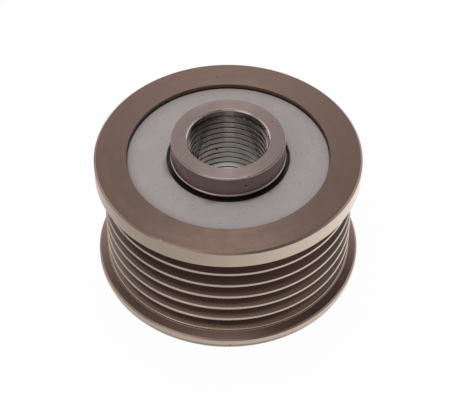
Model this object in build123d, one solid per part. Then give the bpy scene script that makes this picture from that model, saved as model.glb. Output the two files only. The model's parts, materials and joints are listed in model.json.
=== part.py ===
from build123d import *
import os
from math import cos, pi, radians, sin, tan

# Overrunning alternator pulley, in millimetres.
# +Z runs along the spin axis towards the alternator, and Z = 0 is the rim's front face.
# The rim turns on two rows of rollers, and a roller clutch between them drives the hub one way.

# Shaft thread of M17 x 1.5 with flattened crests, and a plain band for a 17 mm journal behind it
thread_major_radius = 8.50
thread_depth = 0.35
thread_lead_angle = 45.0
thread_front_end = 10.00
pilot_step = 0.10
pilot_depth = 1.87
mouth_chamfer = 0.30
relief_step = 0.20
relief_width = 2.00

# Toothed front end of the bore, for the holding tool
serration_teeth = 33
serration_step = 0.35
serration_depth = 0.50

# Hub
hub_wall = 2.10
nose_step = 1.50
nose_height = 4.57
nose_foot_from_rear = 0.40
nose_foot_height = 0.40
nose_foot_lip = 0.20
nose_edge_chamfer = 0.40
neck_step = 0.80
hub_front_setback = 1.00
hub_front_chamfer = 0.40

# Support rollers, both rows
race_wall = 2.90
roller_diameter = 3.50
roller_count = 12
roller_play = 0.045
roller_cage_width = 6.00
cage_end_wall = 0.70
cage_play = 0.15
cage_pocket_play = 0.06
cage_thickness = 2.00

# Clutch rollers, their ramps and springs
clutch_roller_diameter = 4.00
clutch_roller_count = 10
wedge_angle = 8.0
clutch_cage_gap = 0.20
spring_room = 2.40
spring_strip = 0.25
spring_height = 1.90
spring_margin = 0.30

# Drawn sleeve that carries both rows, and the washers at its ends
sleeve_wall = 1.60
sleeve_lip_thickness = 1.00
sleeve_lip_gap = 0.70
washer_thickness = 0.80
washer_gap = 0.15
thrust_play = 0.10

# Sealing lips
lip_clearance = 0.05
lip_tip = 0.35
lip_reach = 2.20

# Rim and its belt track of 3.56 mm pitch
rim_wall = 4.63
rib_pitch = 3.56
groove_count = 6
groove_angle = 40.0
groove_root_land = 0.50
crest_land = 0.60
first_groove_from_rear = 6.72
last_groove_from_front = 5.38

# Flanges beside the belt track
rear_flange_height = 1.75
front_flange_height = 1.95
flange_flare = 22.0
rear_edge_break = 0.10
front_edge_break = 0.37
rear_edge_chamfer = 0.45
front_bevel_height = 1.20
front_bevel_depth = 0.40

# Rear recess with its cover and seal
recess_step = 2.91
cover_from_rear = 1.05
cover_thickness = 1.20
cover_edge_chamfer = 0.30
nose_gap = 0.73
rear_seal_thickness = 1.40

# Front recess, where a dust cap snaps in
cap_recess_step = 1.91
cap_recess_depth = 3.20
cap_groove_from_front = 1.20
cap_groove_width = 0.90
cap_groove_depth = 0.40
cap_lead_in = 0.40
front_seal_thickness = 1.40

# Radii from the shaft outwards
thread_minor_radius = thread_major_radius - thread_depth
pilot_radius = thread_major_radius + pilot_step
relief_radius = thread_major_radius + relief_step
serration_minor_radius = thread_major_radius + serration_step
serration_major_radius = serration_minor_radius + serration_depth
seat_radius = thread_major_radius + hub_wall
nose_radius = seat_radius + nose_step
neck_radius = nose_radius - neck_step
cover_bore_radius = nose_radius + nose_foot_lip + nose_gap
inner_race_radius = seat_radius + race_wall
outer_race_radius = inner_race_radius + roller_diameter + 2 * roller_play
rim_bore_radius = outer_race_radius + sleeve_wall
recess_radius = rim_bore_radius + recess_step
cap_recess_radius = rim_bore_radius + cap_recess_step
roller_circle = inner_race_radius + roller_play + roller_diameter / 2
clutch_circle = outer_race_radius - roller_play - clutch_roller_diameter / 2
ramp_distance = clutch_circle * cos(radians(wedge_angle)) - clutch_roller_diameter / 2

# Belt track and flanges on the rim's wall
groove_mouth = rib_pitch - crest_land
groove_depth = (groove_mouth - groove_root_land) / 2 / tan(radians(groove_angle / 2))
crest_radius = rim_bore_radius + rim_wall + groove_depth
rear_flange_radius = crest_radius + rear_flange_height
front_flange_radius = crest_radius + front_flange_height

# Heights from the rear face inwards
rear_face_z = last_groove_from_front + rib_pitch * (groove_count - 1) + first_groove_from_rear
groove_centres = [last_groove_from_front + rib_pitch * i for i in range(groove_count)]
hub_top_z = rear_face_z + nose_height
pilot_floor_z = hub_top_z - pilot_depth
cover_top_z = rear_face_z - cover_from_rear
cover_bottom_z = cover_top_z - cover_thickness
recess_floor_z = cover_bottom_z - rear_seal_thickness
rear_washer_z = recess_floor_z - sleeve_lip_thickness - washer_thickness
race_rear_z = rear_washer_z - thrust_play

# Heights from the front face inwards
front_seat_z = cap_recess_depth
sleeve_front_z = front_seat_z + front_seal_thickness
front_washer_z = sleeve_front_z + sleeve_lip_thickness
race_front_z = front_washer_z + washer_thickness + thrust_play

# Rows of rollers between the washers
row_front_z = front_washer_z + washer_thickness + cage_play
row_rear_z = rear_washer_z - cage_play
clutch_front_z = row_front_z + roller_cage_width + cage_play
clutch_rear_z = row_rear_z - roller_cage_width - cage_play
clutch_cage_width = clutch_rear_z - clutch_front_z
ramp_start = 180.0 / clutch_roller_count


def turned(*points):
    """A solid of revolution about the spin axis from its half section, as (radius, height)."""
    section = Plane.XZ * make_face(Polyline(*points, close=True))
    return revolve(section, axis=Axis.Z)


def ring(inner, outer, low, high):
    """A plain ring between two radii and two heights."""
    return turned((inner, low), (outer, low), (outer, high), (inner, high))


def around(count, start=0.0):
    """Angles in degrees of pieces that stand evenly round the axis."""
    return [start + 360.0 * i / count for i in range(count)]


def groove_section():
    """Section of one groove, as waste to take away: it opens outwards and has a flat root."""
    mouth = groove_mouth / 2
    root = groove_root_land / 2
    beyond = crest_radius + crest_land
    return make_face(
        Polyline(
            (crest_radius - groove_depth, -root),
            (crest_radius, -mouth),
            (beyond, -mouth),
            (beyond, mouth),
            (crest_radius, mouth),
            (crest_radius - groove_depth, root),
            close=True,
        )
    )


def rim_blank_section():
    """Section of the rim before its grooves: two flared flanges and a stepped bore."""
    flare = tan(radians(flange_flare))
    rear_foot = groove_centres[-1] + groove_mouth / 2 + crest_land
    front_foot = groove_centres[0] - groove_mouth / 2 - crest_land
    rear_edge = rear_foot + (rear_flange_height - rear_edge_break) * flare
    front_edge = front_foot - (front_flange_height - front_edge_break) * flare
    outside = [
        (recess_radius, rear_face_z),
        (rear_flange_radius - rear_edge_chamfer, rear_face_z),
        (rear_flange_radius, rear_face_z - rear_edge_chamfer),
        (rear_flange_radius, rear_edge + rear_edge_break),
        (rear_flange_radius - rear_edge_break, rear_edge),
        (crest_radius, rear_foot),
        (crest_radius, front_foot),
        (front_flange_radius - front_edge_break, front_edge),
        (front_flange_radius, front_edge - front_edge_break),
        (front_flange_radius, front_bevel_height),
        (front_flange_radius - front_bevel_depth, 0),
    ]
    snap_low = cap_groove_from_front
    snap_high = snap_low + cap_groove_width
    snap_radius = cap_recess_radius + cap_groove_depth
    inside = [
        (cap_recess_radius + cap_lead_in, 0),
        (cap_recess_radius, cap_lead_in),
        (cap_recess_radius, snap_low),
        (snap_radius, snap_low),
        (snap_radius, snap_high),
        (cap_recess_radius, snap_high),
        (cap_recess_radius, front_seat_z),
        (rim_bore_radius, front_seat_z),
        (rim_bore_radius, recess_floor_z),
        (recess_radius, recess_floor_z),
    ]
    return make_face(Polyline(*outside, *inside, close=True))


def pulley_rim():
    """Turned steel rim: grooved outside, stepped bore inside, with a snap groove for a cap."""
    section = rim_blank_section()
    for centre in groove_centres:
        section -= Pos(0, centre) * groove_section()
    return revolve(Plane.XZ * section, axis=Axis.Z)


def rear_cover_ring():
    """Flat grey ring pressed into the rear recess, round the hub's nose."""
    edge = cover_edge_chamfer
    return turned(
        (cover_bore_radius, cover_bottom_z),
        (recess_radius, cover_bottom_z),
        (recess_radius, cover_top_z - edge),
        (recess_radius - edge, cover_top_z),
        (cover_bore_radius + edge, cover_top_z),
        (cover_bore_radius, cover_top_z - edge),
    )


def lip_seal(outer, shaft, back, face):
    """Rubber seal: a flat body, and a lip that slopes from its back edge up to the shaft."""
    tip = shaft + lip_clearance
    root = tip + lip_reach
    slope = face - (face - back) / abs(face - back) * lip_tip
    return turned((outer, back), (outer, face), (root, face), (tip, face), (tip, slope), (root, back))


def rear_lip_seal():
    """Seal under the cover ring, against the hub's neck."""
    return lip_seal(recess_radius, neck_radius, recess_floor_z, cover_bottom_z)


def front_lip_seal():
    """Seal in the rim's front bore, against the hub's shaft."""
    return lip_seal(rim_bore_radius, seat_radius, sleeve_front_z, front_seat_z)


def outer_sleeve():
    """Drawn steel sleeve pressed into the rim, with a lip turned in at each end."""
    front_lip = seat_radius + sleeve_lip_gap
    rear_lip = neck_radius + sleeve_lip_gap
    return turned(
        (front_lip, sleeve_front_z),
        (rim_bore_radius, sleeve_front_z),
        (rim_bore_radius, recess_floor_z),
        (rear_lip, recess_floor_z),
        (rear_lip, recess_floor_z - sleeve_lip_thickness),
        (outer_race_radius, recess_floor_z - sleeve_lip_thickness),
        (outer_race_radius, front_washer_z),
        (front_lip, front_washer_z),
    )


def thrust_washer(shaft, low):
    """Flat washer between a sleeve lip and the end of the inner race."""
    return ring(shaft + washer_gap, outer_race_radius - washer_gap, low, low + washer_thickness)


def inner_race():
    """Hardened race pressed on the hub, with a flat ramp under each clutch roller."""
    blank = ring(seat_radius, inner_race_radius, race_front_z, race_rear_z)
    flats = RegularPolygon(ramp_distance, clutch_roller_count, major_radius=False)
    waste = Circle(inner_race_radius + clutch_roller_diameter) - flats
    return blank - Pos(0, 0, clutch_front_z) * extrude(waste, clutch_cage_width)


def hub():
    """Threaded hub: nose on the alternator side, neck, race seat and toothed front end."""
    foot_z = rear_face_z - nose_foot_from_rear
    lead_depth = (pilot_radius - thread_minor_radius) * tan(radians(thread_lead_angle))
    relief_front_z = thread_front_end - relief_width
    body = turned(
        (pilot_radius + mouth_chamfer, hub_top_z),
        (nose_radius - nose_edge_chamfer, hub_top_z),
        (nose_radius, hub_top_z - nose_edge_chamfer),
        (nose_radius, foot_z + nose_foot_height),
        (nose_radius + nose_foot_lip, foot_z + nose_foot_height - nose_foot_lip),
        (nose_radius + nose_foot_lip, foot_z),
        (neck_radius, foot_z),
        (neck_radius, race_rear_z),
        (seat_radius, race_rear_z),
        (seat_radius, hub_front_setback + hub_front_chamfer),
        (seat_radius - hub_front_chamfer, hub_front_setback),
        (serration_minor_radius, hub_front_setback),
        (serration_minor_radius, relief_front_z),
        (relief_radius, relief_front_z),
        (relief_radius, thread_front_end),
        (thread_minor_radius, thread_front_end),
        (thread_minor_radius, pilot_floor_z - lead_depth),
        (pilot_radius, pilot_floor_z),
        (pilot_radius, hub_top_z - mouth_chamfer),
    )

    step = pi / serration_teeth
    corners = []
    for i in range(2 * serration_teeth):
        radius = serration_major_radius if i % 2 else serration_minor_radius
        corners.append((radius * cos(step * i), radius * sin(step * i)))
    teeth = extrude(make_face(Polyline(*corners, close=True)), relief_front_z - hub_front_setback)
    return body - Pos(0, 0, hub_front_setback) * teeth


def roller_cage(low):
    """Moulded cage of a support row, with a window for each roller."""
    middle = roller_circle
    cage = ring(middle - cage_thickness / 2, middle + cage_thickness / 2, low, low + roller_cage_width)
    window = Box(
        2 * cage_thickness,
        roller_diameter + 2 * cage_pocket_play,
        roller_cage_width - 2 * cage_end_wall,
    )
    centre_z = low + roller_cage_width / 2
    for angle in around(roller_count):
        cage -= Rot(0, 0, angle) * Pos(middle, 0, centre_z) * window
    return cage


def support_roller(angle, low):
    """One cylindrical roller of a support row."""
    length = roller_cage_width - 2 * cage_end_wall - 2 * cage_pocket_play
    centre_z = low + roller_cage_width / 2
    return Rot(0, 0, angle) * Pos(roller_circle, 0, centre_z) * Cylinder(roller_diameter / 2, length)


def on_ramp(angle, shape):
    """Stand a shape beside a ramp: its X then runs outwards and its Y along the ramp."""
    centre_z = (clutch_front_z + clutch_rear_z) / 2
    return Rot(0, 0, angle) * Pos(0, 0, centre_z) * shape


def clutch_windows():
    """Edges of a clutch cage window along the ramp: the spring's end and the roller's end."""
    roller_y = clutch_circle * sin(radians(wedge_angle))
    near_y = roller_y - clutch_roller_diameter / 2 - spring_room
    far_y = roller_y + clutch_roller_diameter / 2 + cage_pocket_play
    return near_y, far_y


def clutch_cage():
    """Moulded clutch cage, with a window for each roller and its spring."""
    inner = inner_race_radius + clutch_cage_gap
    outer = outer_race_radius - clutch_cage_gap
    cage = ring(inner, outer, clutch_front_z, clutch_rear_z)
    near_y, far_y = clutch_windows()
    window = Box(2 * (outer - inner), far_y - near_y, clutch_cage_width - 2 * cage_end_wall)
    place = Pos((inner + outer) / 2, (near_y + far_y) / 2, 0)
    for angle in around(clutch_roller_count, ramp_start):
        cage -= on_ramp(angle, place * window)
    return cage


def clutch_roller(angle):
    """One clutch roller, wedged lightly between its ramp and the outer race."""
    length = clutch_cage_width - 2 * cage_end_wall - 2 * cage_pocket_play
    turn = angle + wedge_angle
    return on_ramp(turn, Pos(clutch_circle, 0, 0) * Cylinder(clutch_roller_diameter / 2, length))


def clutch_spring(angle):
    """One folded leaf spring, between the end of its window and its roller."""
    near_y, far_y = clutch_windows()
    far_y = near_y + spring_room
    low = clutch_circle - spring_height / 2
    high = clutch_circle + spring_height / 2
    middle = (near_y + far_y) / 2
    strip = spring_strip
    leaf = Polyline(
        (low, near_y),
        (high, middle - strip / 2),
        (high, middle + strip / 2),
        (low, far_y),
        (low, far_y - strip),
        (high - 2 * strip, middle),
        (low, near_y + strip),
        close=True,
    )
    height = clutch_cage_width - 2 * cage_end_wall - 2 * spring_margin
    return on_ramp(angle, Pos(0, 0, -height / 2) * extrude(make_face(leaf), height))


parts = {
    "pulley_rim": pulley_rim(),
    "rear_cover_ring": rear_cover_ring(),
    "rear_lip_seal": rear_lip_seal(),
    "front_lip_seal": front_lip_seal(),
    "outer_sleeve": outer_sleeve(),
    "rear_thrust_washer": thrust_washer(neck_radius, rear_washer_z),
    "front_thrust_washer": thrust_washer(seat_radius, front_washer_z),
    "hub": hub(),
    "inner_race": inner_race(),
    "clutch_cage": clutch_cage(),
    "rear_roller_cage": roller_cage(row_rear_z - roller_cage_width),
    "front_roller_cage": roller_cage(row_front_z),
}
for number, angle in enumerate(around(roller_count), start=1):
    parts[f"rear_roller_{number:02d}"] = support_roller(angle, row_rear_z - roller_cage_width)
    parts[f"front_roller_{number:02d}"] = support_roller(angle, row_front_z)
for number, angle in enumerate(around(clutch_roller_count, ramp_start), start=1):
    parts[f"clutch_roller_{number:02d}"] = clutch_roller(angle)
    parts[f"clutch_spring_{number:02d}"] = clutch_spring(angle)

os.makedirs("parts", exist_ok=True)
for name, part in parts.items():
    export_step(part, f"parts/{name}.step")
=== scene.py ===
import json
import logging
import math
from collections.abc import Sequence
from dataclasses import dataclass
from enum import Enum

import bmesh
import bpy
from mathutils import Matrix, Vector


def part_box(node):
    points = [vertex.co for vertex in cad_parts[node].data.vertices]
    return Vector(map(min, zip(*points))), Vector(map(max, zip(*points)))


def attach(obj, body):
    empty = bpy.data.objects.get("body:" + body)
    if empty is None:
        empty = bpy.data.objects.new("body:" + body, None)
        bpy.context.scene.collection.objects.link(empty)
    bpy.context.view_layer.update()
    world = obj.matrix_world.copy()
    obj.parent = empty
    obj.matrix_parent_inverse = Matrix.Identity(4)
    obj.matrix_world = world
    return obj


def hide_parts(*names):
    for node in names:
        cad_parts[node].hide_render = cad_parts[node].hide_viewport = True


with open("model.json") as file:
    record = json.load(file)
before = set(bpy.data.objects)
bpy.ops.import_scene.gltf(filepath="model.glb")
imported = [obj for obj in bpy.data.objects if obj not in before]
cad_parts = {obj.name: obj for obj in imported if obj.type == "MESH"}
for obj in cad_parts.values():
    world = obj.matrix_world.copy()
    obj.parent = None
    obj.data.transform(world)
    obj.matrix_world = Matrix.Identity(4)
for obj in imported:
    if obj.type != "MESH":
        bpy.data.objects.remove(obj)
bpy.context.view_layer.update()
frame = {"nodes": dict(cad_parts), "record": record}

log = logging.getLogger("pulley")

MM = 0.001
# A quarter turn, which spreads the gloss across the marks that a tool leaves.
ACROSS_MARKS = 0.25

Colour = tuple[float, float, float]
Place = tuple[float, float, float]
Outline = list[tuple[float, float]]
Socket = bpy.types.NodeSocket


class Blend(Enum):
    """How one colour is laid over another."""

    MIX = "MIX"
    MULTIPLY = "MULTIPLY"


@dataclass(frozen=True)
class Tint:
    """A colour that lies over another, and how strongly it covers it."""

    colour: Colour
    strength: float


@dataclass(frozen=True)
class Mark:
    """How a kind of wear shows: its tint, and its height in millimetres, below 0 where it is sunk."""

    tint: Tint
    height: float


class Wear(Enum):
    """What a small mark on a surface is."""

    DENT = Mark(Tint((0.03, 0.022, 0.018), 0.85), -0.10)
    BRIGHT = Mark(Tint((0.62, 0.56, 0.50), 0.7), 0.01)


@dataclass(frozen=True)
class Spot:
    """A small mark on a surface, placed about the spin axis in millimetres.

    Attributes:
        wear: What it is.
        radius: How far its middle stands from the axis.
        turn: Its direction round the axis, in degrees from +X.
        height: Its height.
        size: How far it reaches from its middle.
        core: Share of its size that is at full strength.
        ripples: Features of the noise, to its size, that break its outline.
    """

    wear: Wear
    radius: float
    turn: float
    height: float
    size: float
    core: float = 0.4
    ripples: float = 2.0

    def centre(self) -> Place:
        """Its middle."""
        turn = math.radians(self.turn)
        return self.radius * math.cos(turn), self.radius * math.sin(turn), self.height


@dataclass(frozen=True)
class Patches:
    """Patches cut out of noise.

    Attributes:
        fineness: Features of the noise to a millimetre.
        detail: How many finer layers it has.
        low: Level of the noise at which a patch begins.
        high: Level from which the patch is whole.
    """

    fineness: float
    detail: float
    low: float
    high: float


class Value:
    """A number socket that takes part in Python expressions, each of which adds a Math node."""

    def __init__(self, nodes: "Nodes", socket: Socket) -> None:
        """Wrap a socket.

        Args:
            nodes: The tree that the socket belongs to.
            socket: The output that gives the number.
        """
        self.nodes = nodes
        self.socket = socket

    def math(self, operation: str, *others: "Operand") -> "Value":
        """Put this value first in a Math node.

        Args:
            operation: The Math node's operation.
            others: What its other sockets take.

        Returns:
            The node's result.
        """
        return self.nodes.math(operation, self, *others)

    def clamped(self) -> "Value":
        """This value, kept between 0 and 1."""
        return self.math("MINIMUM", 1.0).math("MAXIMUM", 0.0)

    def centred(self) -> "Value":
        """This value less a half, so that noise swings about 0."""
        return self - 0.5

    def __add__(self, other: "Operand") -> "Value":
        """The sum."""
        return self.nodes.math("ADD", self, other)

    def __radd__(self, other: "Operand") -> "Value":
        """The sum, from the right."""
        return self.nodes.math("ADD", other, self)

    def __sub__(self, other: "Operand") -> "Value":
        """The difference."""
        return self.nodes.math("SUBTRACT", self, other)

    def __rsub__(self, other: "Operand") -> "Value":
        """The difference, from the right."""
        return self.nodes.math("SUBTRACT", other, self)

    def __mul__(self, other: "Operand") -> "Value":
        """The product."""
        return self.nodes.math("MULTIPLY", self, other)

    def __rmul__(self, other: "Operand") -> "Value":
        """The product, from the right."""
        return self.nodes.math("MULTIPLY", other, self)

    def __truediv__(self, other: "Operand") -> "Value":
        """The quotient."""
        return self.nodes.math("DIVIDE", self, other)


Operand = Value | float
Link = Value | Socket | float | Colour | tuple[float, float, float, float]


def opaque(colour: Link) -> Link:
    """The same link, with full cover added to a bare red, green and blue."""
    return (*colour, 1.0) if isinstance(colour, tuple) and len(colour) == 3 else colour


def ringed_metal(gloss_spread: float) -> dict[str, Link]:
    """Shader constants of a metal whose tool marks run round the axis."""
    return {"Metallic": 1.0, "Anisotropic": gloss_spread, "Anisotropic Rotation": ACROSS_MARKS}


class Nodes:
    """The node tree of one material or world while it is built."""

    def __init__(self, tree: bpy.types.NodeTree) -> None:
        """Start from an empty tree.

        Args:
            tree: The tree to fill.
        """
        self.tree = tree
        tree.nodes.clear()

    def add(
        self,
        kind: str,
        settings: dict[str, object] | None = None,
        sockets: dict[str | int, Link] | None = None,
    ) -> bpy.types.Node:
        """Add one node.

        Args:
            kind: The node's type.
            settings: Its own settings, set first; "stops" are a ramp's places and colours.
            sockets: Values and links of its input sockets, by name or by number.

        Returns:
            The new node.
        """
        node = self.tree.nodes.new(kind)
        for name, setting in (settings or {}).items():
            if name == "stops":
                self.set_stops(node, setting)
            else:
                setattr(node, name, setting)
        for key, value in (sockets or {}).items():
            target = node.inputs[key]
            if isinstance(value, Value):
                self.tree.links.new(value.socket, target)
            elif isinstance(value, Socket):
                self.tree.links.new(value, target)
            else:
                target.default_value = value
        return node

    @staticmethod
    def set_stops(node: bpy.types.Node, stops: Sequence[tuple[float, Colour]]) -> None:
        """Give a colour ramp its stops.

        Args:
            node: The ramp's node.
            stops: Places from 0 to 1, each with its colour.
        """
        elements = node.color_ramp.elements
        while len(elements) < len(stops):
            elements.new(0.5)
        for element, (place, colour) in zip(elements, stops):
            element.position = place
            element.color = opaque(colour)

    def value(self, socket: Socket) -> Value:
        """Wrap an output socket of this tree."""
        return Value(self, socket)

    def split(self, vector: Link) -> list[Value]:
        """The three parts of a vector."""
        node = self.add("ShaderNodeSeparateXYZ", {}, {0: vector})
        return [self.value(output) for output in node.outputs]

    def math(self, operation: str, *operands: Operand) -> Value:
        """Add a Math node.

        Args:
            operation: The node's operation.
            operands: What its sockets take, in order.

        Returns:
            Its result.
        """
        node = self.add("ShaderNodeMath", {"operation": operation}, dict(enumerate(operands)))
        return self.value(node.outputs[0])

    def rise(self, value: Operand, low: float, high: float) -> Value:
        """A smooth rise from 0 to 1.

        Args:
            value: What it rises with.
            low: Where it leaves 0.
            high: Where it reaches 1.

        Returns:
            The rise.
        """
        sockets = {"Value": value, "From Min": low, "From Max": high}
        node = self.add("ShaderNodeMapRange", {"interpolation_type": "SMOOTHSTEP"}, sockets)
        return self.value(node.outputs[0])

    def grey(self, level: Operand) -> Socket:
        """A grey of the given level."""
        return self.add("ShaderNodeCombineColor", {}, {0: level, 1: level, 2: level}).outputs[0]

    def mix(self, amount: Operand, first: Link, second: Link, blend: Blend = Blend.MIX) -> Socket:
        """Mix two colours.

        Args:
            amount: How much of the second colour shows.
            first: The colour below.
            second: The colour laid over it.
            blend: How it is laid over.

        Returns:
            The mixed colour.
        """
        settings = {"data_type": "RGBA", "blend_type": blend.value}
        sockets = {0: amount, 6: opaque(first), 7: opaque(second)}
        return self.add("ShaderNodeMix", settings, sockets).outputs[2]

    def shaded(self, colour: Link, shade: Operand) -> Socket:
        """A colour times a shade."""
        return self.mix(1.0, colour, self.grey(shade), Blend.MULTIPLY)

    def tinted(self, share: Value, colour: Link, tint: Tint) -> Socket:
        """A colour with a tint over it where the share is 1, and none where it is 0."""
        return self.mix(share * tint.strength, colour, tint.colour)


class Surface:
    """One material under way, with the shaded point in millimetres about the spin axis."""

    def __init__(self, name: str) -> None:
        """Start a material.

        Args:
            name: The material's name.
        """
        self.material = bpy.data.materials.new(name)
        self.material.use_nodes = True
        self.nodes = Nodes(self.material.node_tree)
        place = self.nodes.add("ShaderNodeTexCoord").outputs["Object"]
        sockets = {"Vector": place, "Scale": 1 / MM}
        scaled = self.nodes.add("ShaderNodeVectorMath", {"operation": "SCALE"}, sockets)
        self.point = scaled.outputs["Vector"]
        x, y, self.z = self.nodes.split(self.point)
        self.radius = (x * x + y * y).math("SQRT")
        self.angle = y.math("ARCTAN2", x)

    def noise(self, fineness: float, detail: float = 2.0, where: Link | None = None) -> Value:
        """Noise of a given fineness.

        Args:
            fineness: Features to a millimetre.
            detail: How many finer layers are added.
            where: The point to read it at, or None for the shaded point.

        Returns:
            A value about 0.5.
        """
        vector = self.point if where is None else where
        sockets = {"Vector": vector, "Scale": fineness, "Detail": detail}
        return self.nodes.value(self.nodes.add("ShaderNodeTexNoise", {}, sockets).outputs[0])

    def patches(self, pattern: Patches) -> Value:
        """1 inside the patches of a pattern, and 0 between them."""
        return self.nodes.rise(self.noise(pattern.fineness, pattern.detail), pattern.low, pattern.high)

    def between(self, value: Operand, low: float, high: float, soft: float) -> Value:
        """Near 1 between two limits and 0 outside them.

        Args:
            value: What is compared.
            low: The lower limit.
            high: The upper limit.
            soft: How far each limit is spread.

        Returns:
            The share inside.
        """
        inside = self.nodes.rise(value, low - soft / 2, low + soft / 2)
        return inside * (1.0 - self.nodes.rise(value, high - soft / 2, high + soft / 2))

    def below(self, value: Operand, limit: float, soft: float) -> Value:
        """1 below a limit, falling to 0 over the soft stretch before it."""
        return 1.0 - self.nodes.rise(value, limit - soft, limit)

    def upright(self, wall: float = 0.35, face: float = 0.75) -> Value:
        """1 on walls that stand parallel to the spin axis, and 0 on faces across it.

        Args:
            wall: Part of the unit normal along the axis, up to which the surface is a wall.
            face: The same part, from which it is a face.

        Returns:
            The share of wall.
        """
        normal = self.nodes.add("ShaderNodeNewGeometry").outputs["Normal"]
        lean = self.nodes.split(normal)[2].math("ABSOLUTE")
        return 1.0 - self.nodes.rise(lean, wall, face)

    def marks(self, pitch: float, drift: float = 0.25) -> Value:
        """Fine rings that a tool leaves round the axis.

        Args:
            pitch: How far apart they stand, in millimetres.
            drift: How fast they change on the way round.

        Returns:
            A value about 0.5.
        """
        sockets = {0: self.radius, 1: self.z, 2: self.angle * drift}
        where = self.nodes.add("ShaderNodeCombineXYZ", {}, sockets).outputs[0]
        return self.noise(1.0 / pitch, detail=1.0, where=where)

    def spot(self, place: Spot) -> Value:
        """How deep inside a small mark the shaded point lies.

        Args:
            place: The mark.

        Returns:
            From 0 outside to 1 at its middle.
        """
        sockets = {0: self.point, 1: place.centre()}
        apart = self.nodes.add("ShaderNodeVectorMath", {"operation": "DISTANCE"}, sockets)
        wobble = self.noise(place.ripples / place.size).centred() * place.size
        distance = self.nodes.value(apart.outputs["Value"]) + wobble
        return 1.0 - self.nodes.rise(distance, place.core * place.size, place.size)

    def finish(
        self,
        colour: Link,
        roughness: Link,
        height: Value,
        constants: dict[str, Link],
    ) -> bpy.types.Material:
        """Close the material with its shader.

        Args:
            colour: The base colour.
            roughness: The roughness.
            height: The relief in millimetres.
            constants: The shader's other sockets, the same all over the surface.

        Returns:
            The material.
        """
        relief = {"Strength": 1.0, "Distance": MM, "Height": height}
        normal = self.nodes.add("ShaderNodeBump", {}, relief).outputs[0]
        sockets = {"Base Color": opaque(colour), "Roughness": roughness, **constants, "Normal": normal}
        shader = self.nodes.add("ShaderNodeBsdfPrincipled", {}, sockets)
        self.nodes.add("ShaderNodeOutputMaterial", {}, {"Surface": shader.outputs[0]})
        return self.material


@dataclass(frozen=True)
class TurnedSteel:
    """Fine-turned steel with a brown tint, fine and wide rings and a few marks of handling."""

    name: str
    colour: Colour
    roughness: float
    mark_pitch: float = 0.24
    mark_depth: float = 0.0016
    wide_marks: float = 6.0
    cloud_fineness: float = 0.35
    cloud_detail: float = 3.0
    darkest: float = 0.84
    ring_shade: float = 0.20
    cloud_shade: float = 0.14
    ring_roughness: float = 0.10
    cloud_roughness: float = 0.12
    gloss_spread: float = 0.60
    specks: Patches = Patches(4.0, 3.0, 0.72, 0.82)
    speck_tint: Tint = Tint((0.07, 0.05, 0.04), 0.12)
    spots: tuple[Spot, ...] = ()

    def stained(self, surface: Surface, colour: Link) -> Link:
        """Lay over the steel's colour what has settled on it; a plain turned face has nothing.

        Args:
            surface: The material under way.
            colour: The steel's colour.

        Returns:
            The colour that shows.
        """
        return colour

    def smoothed(self, surface: Surface, roughness: Value) -> Value:
        """Make the steel smoother where it is filled or polished; a plain turned face stays as it is.

        Args:
            surface: The material under way.
            roughness: The steel's roughness.

        Returns:
            The roughness that shows.
        """
        return roughness

    def material(self) -> bpy.types.Material:
        """Build the material.

        Returns:
            The material.
        """
        surface = Surface(self.name)
        rings = surface.marks(self.mark_pitch)
        wide_rings = surface.marks(self.wide_marks * self.mark_pitch)
        cloud = surface.noise(self.cloud_fineness, self.cloud_detail)

        shade = self.darkest + self.ring_shade * wide_rings + self.cloud_shade * cloud
        colour = self.stained(surface, surface.nodes.shaded(self.colour, shade))
        colour = surface.nodes.tinted(surface.patches(self.specks), colour, self.speck_tint)
        roughness = self.roughness + self.cloud_roughness * cloud.centred()
        roughness = self.smoothed(surface, roughness + self.ring_roughness * rings.centred())
        height = rings * self.mark_depth + wide_rings * self.mark_depth
        for spot in self.spots:
            share = surface.spot(spot)
            mark = spot.wear.value
            colour = surface.nodes.tinted(share, colour, mark.tint)
            height = height + share * mark.height
        return surface.finish(colour, roughness, height, ringed_metal(self.gloss_spread))


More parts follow.
